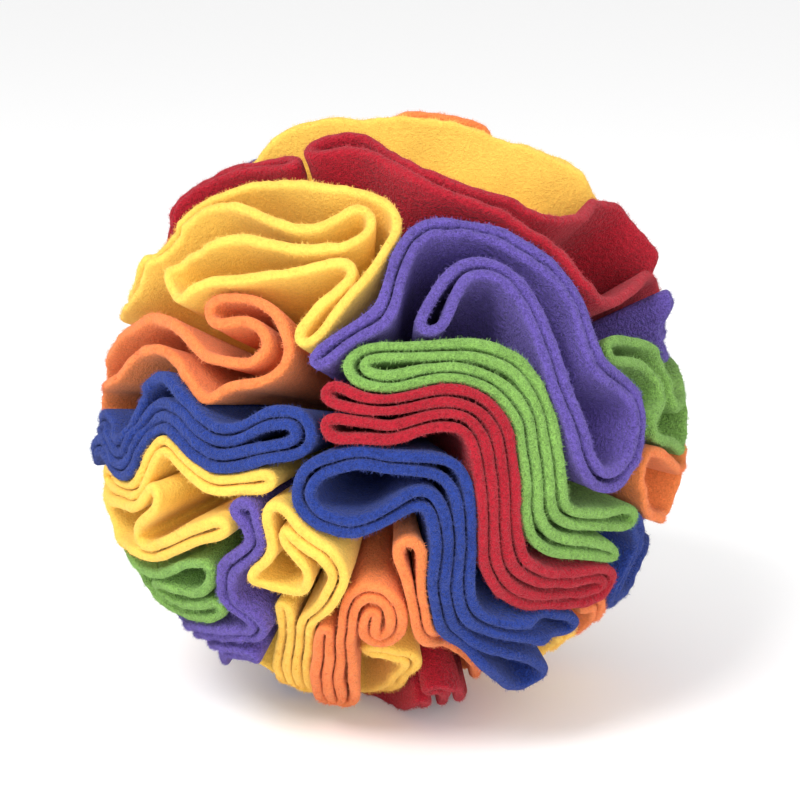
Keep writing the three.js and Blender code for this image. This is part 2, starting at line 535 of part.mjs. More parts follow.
function layRims() {
  const plans = CLOTHS.map((cloth) => {
    const rim = cloth.columns === RING ? ringRim(cloth, null) : bandRim(cloth, []);
    return { cloth, rim, runs: planRuns(cloth, rim) };
  });
  runOnAll(plans);
  return plans.map(({ cloth, runs }) => {
    const laid = cloth.columns === RING ? ringRim(cloth, runs[0]) : bandRim(cloth, runs);
    return { cloth, runs, ...spacedRim(cloth, laid) };
  });
}

// All the rims' points in flat arrays, which the settling below moves over the ball.
function gatherPoints(rims) {
  const count = rims.reduce((sum, rim) => sum + rim.points.length, 0);
  const points = {
    count,
    place: new Float64Array(count * 3),
    home: new Float64Array(count * 3),
    next: new Int32Array(count),
    loop: new Int32Array(count),
    order: new Int32Array(count),
    size: new Int32Array(count),
    anchored: new Uint8Array(count),
    hold: new Float64Array(count),
    growth: new Float64Array(count),
  };
  let first = 0;
  rims.forEach((rim, loop) => {
    const size = rim.points.length;
    rim.first = first;
    rim.points.forEach((point, order) => {
      const i = first + order;
      point.place.toArray(points.place, i * 3);
      point.place.toArray(points.home, i * 3);
      points.next[i] = first + ((order + 1) % size);
      points.loop[i] = loop;
      points.order[i] = order;
      points.size[i] = size;
      points.anchored[i] = point.hold > 0 ? 1 : 0;
      points.hold[i] = point.hold;
      points.growth[i] = point.growth;
    });
    first += size;
  });
  for (let k = 0; k < count * 3; k++) {
    points.place[k] *= BALL_RADIUS;
    points.home[k] *= BALL_RADIUS;
  }
  return points;
}

const CELL = 7.5;
const CELLS_ACROSS = 2 * Math.ceil((BALL_RADIUS + CELL) / CELL) + 2;
const APART_ALONG = 2.4 * LAYER_PITCH;
const FREE_PITCH = 5.6;
const LIST_REACH = FREE_PITCH + 1.4;

function cellOf(points, i, k) {
  return Math.floor(points.place[i * 3 + k] / CELL) + CELLS_ACROSS / 2;
}

// Pairs of points that are near each other on the ball and not neighbours along one rim.
function nearPairs(points) {
  const cells = new Map();
  const keys = new Int32Array(points.count);
  for (let i = 0; i < points.count; i++) {
    const key = (cellOf(points, i, 0) * CELLS_ACROSS + cellOf(points, i, 1)) * CELLS_ACROSS + cellOf(points, i, 2);
    keys[i] = key;
    if (!cells.has(key)) cells.set(key, []);
    cells.get(key).push(i);
  }
  const apart = Math.ceil(APART_ALONG / STEP);
  const pairs = [];
  const visit = (i, key) => {
    const others = cells.get(key);
    if (!others) return;
    for (const j of others) {
      if (j <= i) continue;
      if (points.loop[i] === points.loop[j]) {
        const along = Math.abs(points.order[i] - points.order[j]);
        if (Math.min(along, points.size[i] - along) < apart) continue;
      }
      const dx = points.place[i * 3] - points.place[j * 3];
      const dy = points.place[i * 3 + 1] - points.place[j * 3 + 1];
      const dz = points.place[i * 3 + 2] - points.place[j * 3 + 2];
      if (dx * dx + dy * dy + dz * dz < LIST_REACH * LIST_REACH) pairs.push(i, j);
    }
  };
  for (let i = 0; i < points.count; i++) {
    for (let dx = -1; dx <= 1; dx++) {
      for (let dy = -1; dy <= 1; dy++) {
        for (let dz = -1; dz <= 1; dz++) {
          visit(i, keys[i] + (dx * CELLS_ACROSS + dy) * CELLS_ACROSS + dz);
        }
      }
    }
  }
  return Int32Array.from(pairs);
}

const ANCHOR_PULL = 0.03;
const ANCHORED_BEND = 0.12;
const BENDS = [[1, ANCHORED_BEND], [1, 0.3], [2, 0.15], [4, 0.06]];
const FREE_PUSH = 0.25;
const LEAST_RIM = 400;
const MOST_GROWTH = 1.6;
const ANCHORED_SHARE = 0.35;
const LIST_ROUNDS = 8;

function pushPair(points, i, j, rest, atLeast, strength) {
  const a = i * 3;
  const b = j * 3;
  const p = points.place;
  const dx = p[b] - p[a];
  const dy = p[b + 1] - p[a + 1];
  const dz = p[b + 2] - p[a + 2];
  const length = Math.sqrt(dx * dx + dy * dy + dz * dz) || 1e-6;
  if (atLeast && length >= rest) return;
  const wi = points.anchored[i] ? ANCHORED_SHARE : 1;
  const wj = points.anchored[j] ? ANCHORED_SHARE : 1;
  const push = (strength * (length - rest)) / (length * (wi + wj));
  p[a] += dx * push * wi;
  p[a + 1] += dy * push * wi;
  p[a + 2] += dz * push * wi;
  p[b] -= dx * push * wj;
  p[b + 1] -= dy * push * wj;
  p[b + 2] -= dz * push * wj;
}

// Grows the free lengths and presses the layers apart to their pitch, until the cloths lie packed.
function settle(points) {
  const p = points.place;
  let pairs = nearPairs(points);
  const grown = SETTLE_ROUNDS * GROWTH_SHARE;
  for (let round = 0; round < SETTLE_ROUNDS; round++) {
    const scale = Math.min(1, START_SCALE + (1 - START_SCALE) * (round / grown));
    const grownShare = Math.min(1, round / grown);
    const pitch = LAYER_PITCH * scale;
    const freePitch = FREE_PITCH * scale;
    if (round % LIST_ROUNDS === 0) pairs = nearPairs(points);
    for (let i = 0; i < points.count; i++) {
      const spacing = (STEP * (1 + (points.growth[i] - 1) * grownShare)) / points.growth[i];
      pushPair(points, i, points.next[i], spacing, false, 0.9);
    }
    for (let k = 0; k < pairs.length; k += 2) {
      const i = pairs[k];
      const j = pairs[k + 1];
      pushPair(points, i, j, pitch, true, 0.9);
      if (!points.anchored[i] && !points.anchored[j]) pushPair(points, i, j, freePitch, true, FREE_PUSH);
    }
    for (const [reach, pull] of BENDS) {
      for (let i = 0; i < points.count; i++) {
        if (pull !== ANCHORED_BEND && points.hold[i] === 1) continue;
        const first = i - points.order[i];
        const size = points.size[i];
        const before = first + ((points.order[i] + size - reach) % size);
        const after = first + ((points.order[i] + reach) % size);
        for (let axis = 0; axis < 3; axis++) {
          const bend = (p[before * 3 + axis] + p[after * 3 + axis]) / 2 - p[i * 3 + axis];
          p[i * 3 + axis] += bend * pull;
          p[before * 3 + axis] -= (bend * pull) / 2;
          p[after * 3 + axis] -= (bend * pull) / 2;
        }
      }
    }
    for (let i = 0; i < points.count; i++) {
      const a = i * 3;
      const pull = ANCHOR_PULL * points.hold[i];
      for (let axis = 0; axis < 3; axis++) p[a + axis] += (points.home[a + axis] - p[a + axis]) * pull;
      const back = BALL_RADIUS / Math.hypot(p[a], p[a + 1], p[a + 2]);
      p[a] *= back;
      p[a + 1] *= back;
      p[a + 2] *= back;
    }
  }
}


const LINE_TOLERANCE = 0.7;
const FINE_TOLERANCE = 0.12;
const LONGEST_SPAN = 14;
const CORNER_SHARE = 0.42;
const LEAST_APART = CLOTH_THICKNESS + 0.34;
const MEND_ROUNDS = 30;

function rimDirections(points, rim) {
  return rim.points.map((point, k) => {
    return new THREE.Vector3().fromArray(points.place, (rim.first + k) * 3).divideScalar(BALL_RADIUS);
  });
}

// Positive where a rim runs anticlockwise about its own middle, as seen from outside.
function turningSense(directions) {
  const middle = new THREE.Vector3();
  directions.forEach((direction) => middle.add(direction));
  let sum = 0;
  directions.forEach((a, k) => {
    const b = directions[(k + 1) % directions.length];
    sum += a.clone().cross(b).dot(middle);
  });
  return sum;
}

// The point of a stretch that lies farthest off its straight line, and how far.
function farthestOff(directions, from, to) {
  const count = directions.length;
  const across = directions[from % count].clone().cross(directions[to % count]).normalize();
  let off = 0;
  let at = -1;
  for (let k = from + 1; k < to; k++) {
    const distance = Math.abs(directions[k % count].dot(across)) * BALL_RADIUS;
    if (distance >= off) {
      off = distance;
      at = k;
    }
  }
  return { off, at };
}

// Keeps the fewest points of a stretch that follow it within the tolerance.
function keepPoints(directions, from, to, kept) {
  if (to - from < 2) return;
  const count = directions.length;
  const { off, at } = farthestOff(directions, from, to);
  const span = directions[from].distanceTo(directions[to % count]) * BALL_RADIUS;
  if (off < LINE_TOLERANCE && span < LONGEST_SPAN && (to - from) * STEP < LONGEST_SPAN * 1.4) return;
  const split = off < LINE_TOLERANCE ? Math.round((from + to) / 2) : at;
  keepPoints(directions, from, split, kept);
  kept.push(split);
  keepPoints(directions, split, to, kept);
}

function thinnedRim(directions) {
  const count = directions.length;
  const quarter = Math.round(count / 4);
  const kept = [];
  for (let k = 0; k < 4; k++) {
    const from = k * quarter;
    kept.push(from);
    keepPoints(directions, from, k === 3 ? count : (k + 1) * quarter, kept);
  }
  return kept;
}

// How near two straight spans come to each other.
function spanDistance(a, b, c, d) {
  const along = b.clone().sub(a);
  const other = d.clone().sub(c);
  const gap = a.clone().sub(c);
  const aa = along.dot(along);
  const oo = other.dot(other);
  const ao = along.dot(other);
  const ag = along.dot(gap);
  const og = other.dot(gap);
  const cross = aa * oo - ao * ao;
  let s = cross > 1e-9 ? THREE.MathUtils.clamp((ao * og - ag * oo) / cross, 0, 1) : 0;
  let t = (ao * s + og) / oo;
  if (t < 0 || t > 1) {
    t = THREE.MathUtils.clamp(t, 0, 1);
    s = THREE.MathUtils.clamp((ao * t - ag) / aa, 0, 1);
  }
  return gap.addScaledVector(along, s).addScaledVector(other, -t).length();
}

// Gives spans that come too near another strand more of their rims' own points.
function mendThinned(rims) {
  for (let round = 0; round < MEND_ROUNDS; round++) {
    const spans = [];
    rims.forEach((rim, loop) => {
      const count = rim.kept.length;
      rim.kept.forEach((from, order) => {
        const to = order + 1 < count ? rim.kept[order + 1] : rim.kept[0] + rim.directions.length;
        const a = rim.directions[from].clone().multiplyScalar(BALL_RADIUS);
        const b = rim.directions[to % rim.directions.length].clone().multiplyScalar(BALL_RADIUS);
        spans.push({ loop, order, count, from, to, a, b, split: false });
      });
    });
    let splits = 0;
    for (let i = 0; i < spans.length; i++) {
      for (let j = i + 1; j < spans.length; j++) {
        const p = spans[i];
        const q = spans[j];
        if (p.split && q.split) continue;
        if (Math.abs(p.a.x - q.a.x) > 24 || Math.abs(p.a.y - q.a.y) > 24 || Math.abs(p.a.z - q.a.z) > 24) continue;
        if (p.loop === q.loop) {
          const apart = Math.abs(p.order - q.order);
          if (Math.min(apart, p.count - apart) < 2) continue;
          const along = Math.min(Math.abs(q.from - p.to), Math.abs(p.from + rims[p.loop].directions.length - q.to));
          if (along * STEP < APART_ALONG) continue;
        }
        if (spanDistance(p.a, p.b, q.a, q.b) > LEAST_APART) continue;
        for (const span of [p, q]) {
          if (span.split || span.to - span.from < 2) continue;
          const { off } = farthestOff(rims[span.loop].directions, span.from, span.to);
          if (off > FINE_TOLERANCE) span.split = true;
        }
      }
    }
    for (const span of spans) {
      if (!span.split) continue;
      const { at } = farthestOff(rims[span.loop].directions, span.from, span.to);
      rims[span.loop].kept.push(at % rims[span.loop].directions.length);
      splits += 1;
    }
    for (const rim of rims) rim.kept.sort((m, n) => m - n);
    if (!splits) return;
  }
}

// The rim's two edges, half a thickness to each side, as directions.
function rimEdge(middle, halfThickness, radius) {
  const count = middle.length;
  return middle.map((at, k) => {
    const before = middle[(k + count - 1) % count];
    const after = middle[(k + 1) % count];
    const normalIn = before.clone().cross(at).normalize();
    const normalOut = at.clone().cross(after).normalize();
    const corner = normalIn.clone().add(normalOut);
    const half = corner.length() / 2;
    corner.normalize();
    const tangent = Math.sqrt(Math.max(0, 1 - half * half)) / Math.max(half, 0.2);
    const nearest = Math.min(at.distanceTo(before), at.distanceTo(after)) * radius;
    const limit = tangent > 0 ? (CORNER_SHARE * nearest) / tangent : Infinity;
    const reach = Math.sign(halfThickness) * Math.min(Math.abs(halfThickness), limit);
    return at.clone().addScaledVector(corner, reach / Math.max(half, 0.5) / radius).normalize();
  });
}

// Cuts a closed outline on the ball into triangles, the shortest cut first.
function fillOutline(directions) {
  const left = directions.map((_, k) => k);
  const triangles = [];
  const turn = (a, b, c) => directions[a].clone().cross(directions[b]).dot(directions[c]);
  while (left.length > 3) {
    let best = -1;
    let shortest = Infinity;
    for (let k = 0; k < left.length; k++) {
      const a = left[(k + left.length - 1) % left.length];
      const b = left[k];
      const c = left[(k + 1) % left.length];
      const length = directions[a].distanceTo(directions[c]);
      if (length >= shortest || turn(a, b, c) <= 0) continue;
      const blocked = left.some((v) => {
        if (v === a || v === b || v === c) return false;
        return turn(a, b, v) >= 0 && turn(b, c, v) >= 0 && turn(c, a, v) >= 0;
      });
      if (!blocked) {
        best = k;
        shortest = length;
      }
    }
    if (best < 0) throw new Error("an outline can't be filled");
    const count = left.length;
    triangles.push([left[(best + count - 1) % count], left[best], left[(best + 1) % count]]);
    left.splice(best, 1);
  }
  triangles.push(left);
  return triangles;
}

function thicknessAt(radius) {
  const share = (radius - TIP_RADIUS) / (BALL_RADIUS - TIP_RADIUS);
  return TIP_THICKNESS + (CLOTH_THICKNESS - TIP_THICKNESS) * share;
}

// A point out along a direction, but no lower than the flat spot.
function outTo(direction, radius) {
  const floor = BALL_RADIUS - FLAT_SPOT_DEPTH;
  const limit = direction.z < 0 ? floor / -direction.z : Infinity;
  return direction.clone().multiplyScalar(Math.min(radius, limit));
}

// The closed solid of one cloth: a deep folded cup, open at its rim and solid where it is gathered.
function clothSolid(middle, reach) {
  const count = middle.length;
  const halfRim = thicknessAt(reach) / 2;
  const outerRim = rimEdge(middle, -halfRim, reach).map((d) => outTo(d, reach));
  const innerRim = rimEdge(middle, halfRim, reach).map((d) => outTo(d, reach));
  const bottomHalf = thicknessAt(POCKET_BOTTOM_RADIUS) / 2;
  const innerBottom = rimEdge(middle, bottomHalf, POCKET_BOTTOM_RADIUS);
  const outerTip = rimEdge(middle, -TIP_THICKNESS / 2, TIP_RADIUS);
  const rows = [
    outerTip.map((d) => d.clone().multiplyScalar(TIP_RADIUS)),
    outerRim,
    innerRim,
    innerBottom.map((d) => d.clone().multiplyScalar(POCKET_BOTTOM_RADIUS)),
  ];
  const positions = [];
  rows.forEach((row) => row.forEach((point) => positions.push(point.x, point.y, point.z)));
  const faces = [];
  for (let row = 0; row < 3; row++) {
    for (let k = 0; k < count; k++) {
      const next = (k + 1) % count;
      const a = row * count + k;
      const b = row * count + next;
      const c = (row + 1) * count + next;
      const d = (row + 1) * count + k;
      faces.push(a, b, c, a, c, d);
    }
  }
  fillOutline(innerBottom).forEach(([a, b, c]) => faces.push(3 * count + a, 3 * count + b, 3 * count + c));
  fillOutline(outerTip).forEach(([a, b, c]) => faces.push(a, c, b));
  const geometry = new THREE.BufferGeometry();
  geometry.setAttribute("position", new THREE.Float32BufferAttribute(positions, 3));
  geometry.setIndex(faces);
  geometry.computeVertexNormals();
  return geometry;
}

const rims = layRims();
const points = gatherPoints(rims);
settle(points);

for (const rim of rims) {
  rim.directions = rimDirections(points, rim);
  if (turningSense(rim.directions) < 0) rim.directions.reverse();
  rim.kept = thinnedRim(rim.directions);
}
mendThinned(rims);

const ball = new THREE.Group();
ball.position.z = BALL_RADIUS - FLAT_SPOT_DEPTH;
for (const rim of rims) {
  const middle = rim.kept.map((k) => rim.directions[k]);
  const colour = COLOURS[rim.cloth.name.split("_")[0]];
  const material = new THREE.MeshStandardMaterial({ color: colour, roughness: 0.95, metalness: 0 });
  const mesh = new THREE.Mesh(clothSolid(middle, rim.cloth.reach || BALL_RADIUS), material);
  mesh.name = rim.cloth.name;
  ball.add(mesh);
}

export default ball;
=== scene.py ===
"""Dresses the dog snuffle ball: gathered round cloths of fleece, folded over the whole ball."""

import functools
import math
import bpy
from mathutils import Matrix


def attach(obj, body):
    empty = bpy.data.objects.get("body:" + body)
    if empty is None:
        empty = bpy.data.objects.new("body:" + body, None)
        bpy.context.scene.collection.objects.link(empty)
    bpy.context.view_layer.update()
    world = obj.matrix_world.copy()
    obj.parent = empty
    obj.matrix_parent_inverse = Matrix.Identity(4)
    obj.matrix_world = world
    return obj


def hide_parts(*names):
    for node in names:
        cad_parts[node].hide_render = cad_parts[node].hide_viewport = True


bl_info = {
    "name": "Dog snuffle ball",
    "version": (1, 0, 0),
    "blender": (4, 5, 0),
    "location": "View3D > Sidebar > Snuffle ball",
    "description": "Makes the fleece cloths of a snuffle ball on its packed solids",
    "category": "Add Mesh",
}

import bmesh
import bpy
import numpy as np
from bpy.props import FloatProperty, FloatVectorProperty, IntProperty, PointerProperty
from mathutils import Vector, noise
from mathutils.kdtree import KDTree

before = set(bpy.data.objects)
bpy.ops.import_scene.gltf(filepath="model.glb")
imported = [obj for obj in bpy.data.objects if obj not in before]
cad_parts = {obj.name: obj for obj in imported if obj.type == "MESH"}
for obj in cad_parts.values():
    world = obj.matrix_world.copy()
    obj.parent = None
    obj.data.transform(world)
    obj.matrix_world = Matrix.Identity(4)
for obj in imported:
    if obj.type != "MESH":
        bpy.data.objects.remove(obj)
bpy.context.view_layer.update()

# Lengths are in metres, except where a comment gives another unit.
MILLIMETRES_A_METRE = 1000

# The middle of the ball, its radius, and how far above the floor its lowest cloth stays.
CENTRE = np.array([0, 0, 0.077])
BALL_RADIUS = 0.08
FLOOR_GAP = 0.0001

COLOURS = ("red", "orange", "yellow", "green", "blue", "purple")


def colour_of(name):
    """A cloth's colour, which is the first word of its name."""
    return name.split("_")[0]


CLOTH_NAMES = sorted(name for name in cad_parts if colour_of(name) in COLOURS)


# ---- The cut edges, read from the solids ----

# In a solid, only the cut edge lies further than this from the ball's middle.
RIM_SEARCH_RADIUS = 0.05

# How near each other the corners of a solid's loose triangles are where they belong together.
SAME_CORNER = 1e-6


def merged_copy(node):
    """A bmesh of a cloth's solid with its loose triangles joined."""
    mesh = bmesh.new()
    mesh.from_mesh(node.data)
    bmesh.ops.remove_doubles(mesh, verts=mesh.verts, dist=SAME_CORNER)
    mesh.faces.index_update()
    return mesh


def cut_edge_line(node):
    """The line along the middle of a cloth's cut edge, through the strip that joins its sides."""
    centre = Vector(CENTRE)
    mesh = merged_copy(node)
    strip = [
        face
        for face in mesh.faces
        if all((vert.co - centre).length > RIM_SEARCH_RADIUS for vert in face.verts)
    ]
    in_strip = set(strip)
    links = {}
    for face in strip:
        for edge in face.edges:
            shared = [f for f in edge.link_faces if f in in_strip]
            if len(shared) == 2:
                for here, there in (shared, reversed(shared)):
                    links.setdefault(here.index, []).append((there.index, edge))
    line = []
    start = strip[0].index
    previous, current = None, start
    while True:
        following, edge = [link for link in links[current] if link[1] != previous][0]
        line.append((edge.verts[0].co + edge.verts[1].co) / 2)
        previous, current = edge, following
        if current == start:
            break
    mesh.free()
    return np.array([list(point) for point in line])


def even_closed_line(points, spacing):
    """The same closed line with its points at an even spacing."""
    ring = np.vstack([points, points[:1]])
    lengths = np.linalg.norm(np.diff(ring, axis=0), axis=1)
    along = np.concatenate([[0], np.cumsum(lengths)])
    count = int(round(along[-1] / spacing))
    places = np.linspace(0, along[-1], count, endpoint=False)
    return np.stack([np.interp(places, along, ring[:, k]) for k in range(3)], axis=1)


def eased(values, rounds):
    """Values round a closed line with each drawn towards its neighbours."""
    for _ in range(rounds):
        values = (np.roll(values, 1, axis=0) + 2 * values + np.roll(values, -1, axis=0)) / 4
    return values


# ---- How soft, hand-cut cloth departs from the even solids ----

# How far soft cloth wanders, and over what length.
WANDERS = (
    (0.0006, 0.012),
    (0.0018, 0.038),
)

# What the wandering is drawn from. Without a seed of its own it would differ on every run.
WANDER_SEED = 1
noise.seed_set(WANDER_SEED)

# How far a hand-cut edge rises and falls, and over what length.
RAGGED = 0.0005
RAGGED_LENGTH = 0.0035

# How far out a cloth's whole edge stands from the even ball of the solids, in millimetres.
EDGE_HEIGHTS = {
    "purple_middle": 1.2,
    "green_middle": 0.2,
    "red_middle": 0.8,
    "blue_middle": 0.3,
    "blue_left": -0.4,
    "yellow_left": -1.4,
    "green_left_low": -0.8,
    "purple_left_low": -0.2,
    "purple_left_foot": -2.2,
    "yellow_low": 0.6,
    "orange_low": -0.6,
    "orange_coil": -1.4,
    "yellow_upper_left": -0.2,
    "orange_left": -2.4,
    "red_top_right": 1.4,
    "red_top_left": -1.2,
    "yellow_top": 0.4,
    "orange_top": 0.2,
    "green_right": -3.0,
    "orange_right": -1.2,
    "blue_right": -2.4,
    "orange_right_low": -1.8,
    "yellow_right_low": -2.6,
    "red_bottom": -1.6,
    "yellow_bottom": -1.0,
    "red_left_low": -2.0,
    "green_back": 0.6,
    "blue_back": -1.4,
    "red_back": 1.0,
    "orange_back": -0.8,
    "purple_back": 0.2,
    "green_back_low": -1.0,
    "yellow_back": 0.8,
    "red_back_high": -1.6,
    "purple_top": -1.0,
    "yellow_back_low": -1.8,
    "orange_back_right": 0.4,
    "green_back_middle": -1.2,
    "red_back_left": -0.2,
    "purple_right_low": -1.4,
}

# How much an edge rises and falls besides, and over what length.
WAVE_HEIGHT = 0.0013
WAVE_LENGTH = 0.026

# The front view of the ball: its angle above level, the way to the viewer, and the way up in the
# picture.
VIEW_ELEVATION = math.radians(14)
TOWARDS_VIEW = np.array([0, -math.cos(VIEW_ELEVATION), math.sin(VIEW_ELEVATION)])
VIEW_UP = np.array([0, math.sin(VIEW_ELEVATION), math.cos(VIEW_ELEVATION)])

# Where a cloth's edge stands proud of the ball's outline in that view, or is pressed in behind it:
# the cloth, the angle round the outline from the right and half the width of the place, both in
# degrees, and how far out, in millimetres.
OUTLINE_SHIFTS = (
    ("purple_top", 108, 20, -4.5),
    ("blue_back_high", 122, 26, -4.5),
    ("orange_back_right", 136, 28, -6.0),
    ("yellow_top", 143, 27, -6.0),
    ("red_top_left", 130, 9, 1.5),
    ("red_top_left", 165, 24, -4.5),
    ("yellow_upper_left", 166, 14, -3.0),
    ("yellow_upper_left", 144, 4, -2.0),
    ("blue_left", 180, 4, -2.0),
    ("yellow_left_low", 189, 6, -2.5),
    ("yellow_low", 248, 14, -4.5),
    ("yellow_bottom", 242, 14, -4.5),
    ("yellow_bottom", 266, 14, -4.5),
    ("purple_left_foot", 240, 8, 2.5),
    ("purple_left_foot", 258, 9, -2.5),
    ("orange_low", 291, 10, -4.5),
    ("blue_middle", 296, 8, 4.0),
    ("red_bottom", 279, 14, 1.2),
    ("orange_right_low", 313, 8, -1.0),
    ("blue_right", 314, 4, -2.0),
    ("orange_right", 334, 4, -2.5),
    ("purple_right_low", 348, 14, -3.0),
    ("orange_right", 3, 9, -4.5),
    ("purple_right", 10, 9, -5.0),
    ("green_right", 358, 9, 1.5),
    ("red_top_right", 20, 9, -4.5),
    ("yellow_top", 36, 13, -2.5),
    ("red_top_right", 51, 7, -2.5),
    ("orange_top", 60, 10, -4.5),
    ("yellow_top", 83, 17, -2.2),
    ("orange_top", 102, 11, -3.5),
)

# How far behind and in front of the outline the shifts reach, and over how much they fade, all as
# shares of the ball's radius.
SHIFTED_BEHIND = 0.65
SHIFTED_IN_FRONT = 0.85
SHIFT_FADE = 0.3

# How far along the outline a shift reaches, and over how much it fades, as shares of half its
# width.
SHIFT_REACH = 1.25
SHIFT_SIDE_FADE = 0.5


def soft_step(values):
    """Values held between 0 and 1, with a soft start and a soft end."""
    values = np.clip(values, 0, 1)
    return values * values * (3 - 2 * values)


def shifted(name, curve):
    """A cloth's cut edge at its own height, pressed in or pulled out at the ball's outline."""
    rays = curve - CENTRE
    rays /= np.linalg.norm(rays, axis=1, keepdims=True)
    angle = np.degrees(np.arctan2(rays @ VIEW_UP, rays[:, 0]))
    towards = rays @ TOWARDS_VIEW
    near = soft_step((towards + SHIFTED_BEHIND) / SHIFT_FADE)
    near *= soft_step((SHIFTED_IN_FRONT - towards) / SHIFT_FADE)
    waves = [noise.noise(Vector(place) / WAVE_LENGTH) * WAVE_HEIGHT for place in curve]
    out = EDGE_HEIGHTS.get(name, 0) / MILLIMETRES_A_METRE + np.array(waves)
    for cloth, middle, half_width, shift in OUTLINE_SHIFTS:
        if cloth == name:
            off = np.abs((angle - middle + 180) % 360 - 180) / half_width
            beside = soft_step((SHIFT_REACH - off) / SHIFT_SIDE_FADE)
            out += beside * near * shift / MILLIMETRES_A_METRE
    return curve + rays * out[:, None]


def ragged(curve):
    """The same curve, rising and falling as an edge does that is cut by hand."""
    centre = Vector(CENTRE)
    cut = np.empty_like(curve)
    for k, place in enumerate(curve):
        point = Vector(place)
        out = (point - centre).normalized()
        cut[k] = point + out * noise.noise(point / RAGGED_LENGTH) * RAGGED
    return cut


def closed_curve(name, points, spacing, smoothing):
    """A cloth's cut edge as it is seen, from the line along the cut edge of its solid."""
    return ragged(shifted(name, eased(even_closed_line(points, spacing), smoothing)))


def wandered(places):
    """The same places, wandering a little. Neighbouring layers wander together and stay apart."""
    lying = np.empty_like(places)
    for k, place in enumerate(places):
        point = Vector(place)
        for far, length in WANDERS:
            point = point + noise.noise_vector(Vector(place) / length) * far
        lying[k] = point
    lying[:, 2] = np.maximum(lying[:, 2], FLOOR_GAP)
    return lying


# ---- How thick each cloth is along its cut edge ----

# Half the thickness of a cloth at its cut edge, and the dark line that is left between two layers.
NARROWEST_HALF = 0.00110
WIDEST_HALF = 0.00158
LAYER_GAP = 0.00012

# How far along its own edge a point has to be to count as another layer.
OWN_EDGE_APART = 0.006

# How much thinner a cloth may be in places, as a share, and over what length that changes.
THINNER = 0.2
THINNER_LENGTH = 0.006

# How often the changes of thickness along an edge are eased.
THICKNESS_ROUNDS = 4


def half_that_fits(name, curve, spacing, tree, owners):
    """Half the thickness at each point of a cut edge that just reaches the next layer."""
    room = np.full(len(curve), 2 * WIDEST_HALF)
    for k, point in enumerate(curve):
        for _, index, distance in tree.find_range(point, 2 * WIDEST_HALF):
            owner, other = owners[index]
            steps = abs(other - k)
            steps = min(steps, len(curve) - steps)
            if owner != name or steps * spacing > OWN_EDGE_APART:
                room[k] = min(room[k], distance)
    return np.clip(room / 2 - LAYER_GAP / 2, NARROWEST_HALF, WIDEST_HALF)


def thinned(curve):
    """What is left of the thickness at each point of a cut edge, as a share."""
    waves = np.array([noise.noise(Vector(place) / THINNER_LENGTH) for place in curve])
    return 1 - THINNER * (0.5 + 0.5 * waves)


@functools.lru_cache
def all_cut_edges(spacing, smoothing):
    """The curve of every cloth's cut edge, and half its thickness at each point."""
    curves = {}
    for name in CLOTH_NAMES:
        line = cut_edge_line(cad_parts[name])
        curves[name] = closed_curve(name, line, spacing, smoothing)
    lying = {name: wandered(curve) for name, curve in curves.items()}
    tree = KDTree(sum(len(curve) for curve in lying.values()))
    owners = []
    for name, curve in lying.items():
        for k, point in enumerate(curve):
            tree.insert(point, len(owners))
            owners.append((name, k))
    tree.balance()
    halves = {}
    for name, curve in lying.items():
        half = half_that_fits(name, curve, spacing, tree, owners)
        halves[name] = eased(half * thinned(curve), THICKNESS_ROUNDS)
    return curves, halves


# ---- The sheet of a cloth ----

# Rows up one side of a cloth: the share of the way to the cut edge, and the thickness as a share of
# the thickness at the edge.
WALL_ROWS = (
    (0.035, 0.035),
    (0.16, 0.15),
    (0.30, 0.28),
    (0.46, 0.44),
    (0.62, 0.60),
    (0.76, 0.75),
    (0.87, 0.86),
    (0.945, 0.95),
    (0.975, 1.0),
)

# The rounded cut edge: how far out, and how wide, both as shares of half the thickness.
EDGE_ROWS = (
    (-1.0, 1.0),
    (-0.45, 0.90),
    (-0.12, 0.60),
    (0.0, 0.0),
)

# The ring that a sheet starts from, before its points are put in their places.
START_RING_RADIUS = 0.05

# How near each other the points are where a sheet closes on itself.
SAME_POINT = 1e-7


def object_of(name, mesh):
    """Puts a finished bmesh into the scene as an object."""
    data = bpy.data.meshes.new(name)
    mesh.to_mesh(data)
    mesh.free()
    made = bpy.data.objects.new(name, data)
    bpy.context.collection.objects.link(made)
    return made


def cloth_sections(curve, half):
    """Rows of points round a cloth: up one side, over the cut edge and down the other side."""
    rays = curve - CENTRE
    reach = np.linalg.norm(rays, axis=1, keepdims=True)
    rays = rays / reach
    tangent = np.roll(curve, -1, axis=0) - np.roll(curve, 1, axis=0)
    side = np.cross(rays, tangent)
    side /= np.linalg.norm(side, axis=1, keepdims=True)
    half = half[:, None]
    up = [(reach * share, half * width) for share, width in WALL_ROWS]
    up += [(reach + out * half, half * width) for out, width in EDGE_ROWS]
    rows = [CENTRE + rays * far + side * wide for far, wide in up]
    rows += [CENTRE + rays * far - side * wide for far, wide in reversed(up[:-1])]
    return [wandered(row) for row in rows]


def set_ring(verts, places):
    """Puts the verts of a ring in their places, in order."""
    for vert, place in zip(verts, places):
        vert.co = place


def next_ring(mesh, ring, edges):
    """Extrudes a closed ring of edges. Returns the new verts, in the ring's order, and edges."""
    order = {tuple(vert.co): k for k, vert in enumerate(ring)}
    made = bmesh.ops.extrude_edge_only(mesh, edges=edges)["geom"]
    new_edges = [g for g in made if isinstance(g, bmesh.types.BMEdge) and g.is_boundary]
    ordered = [None] * len(ring)
    for vert in made:
        if isinstance(vert, bmesh.types.BMVert):
            ordered[order[tuple(vert.co)]] = vert
    return ordered, new_edges


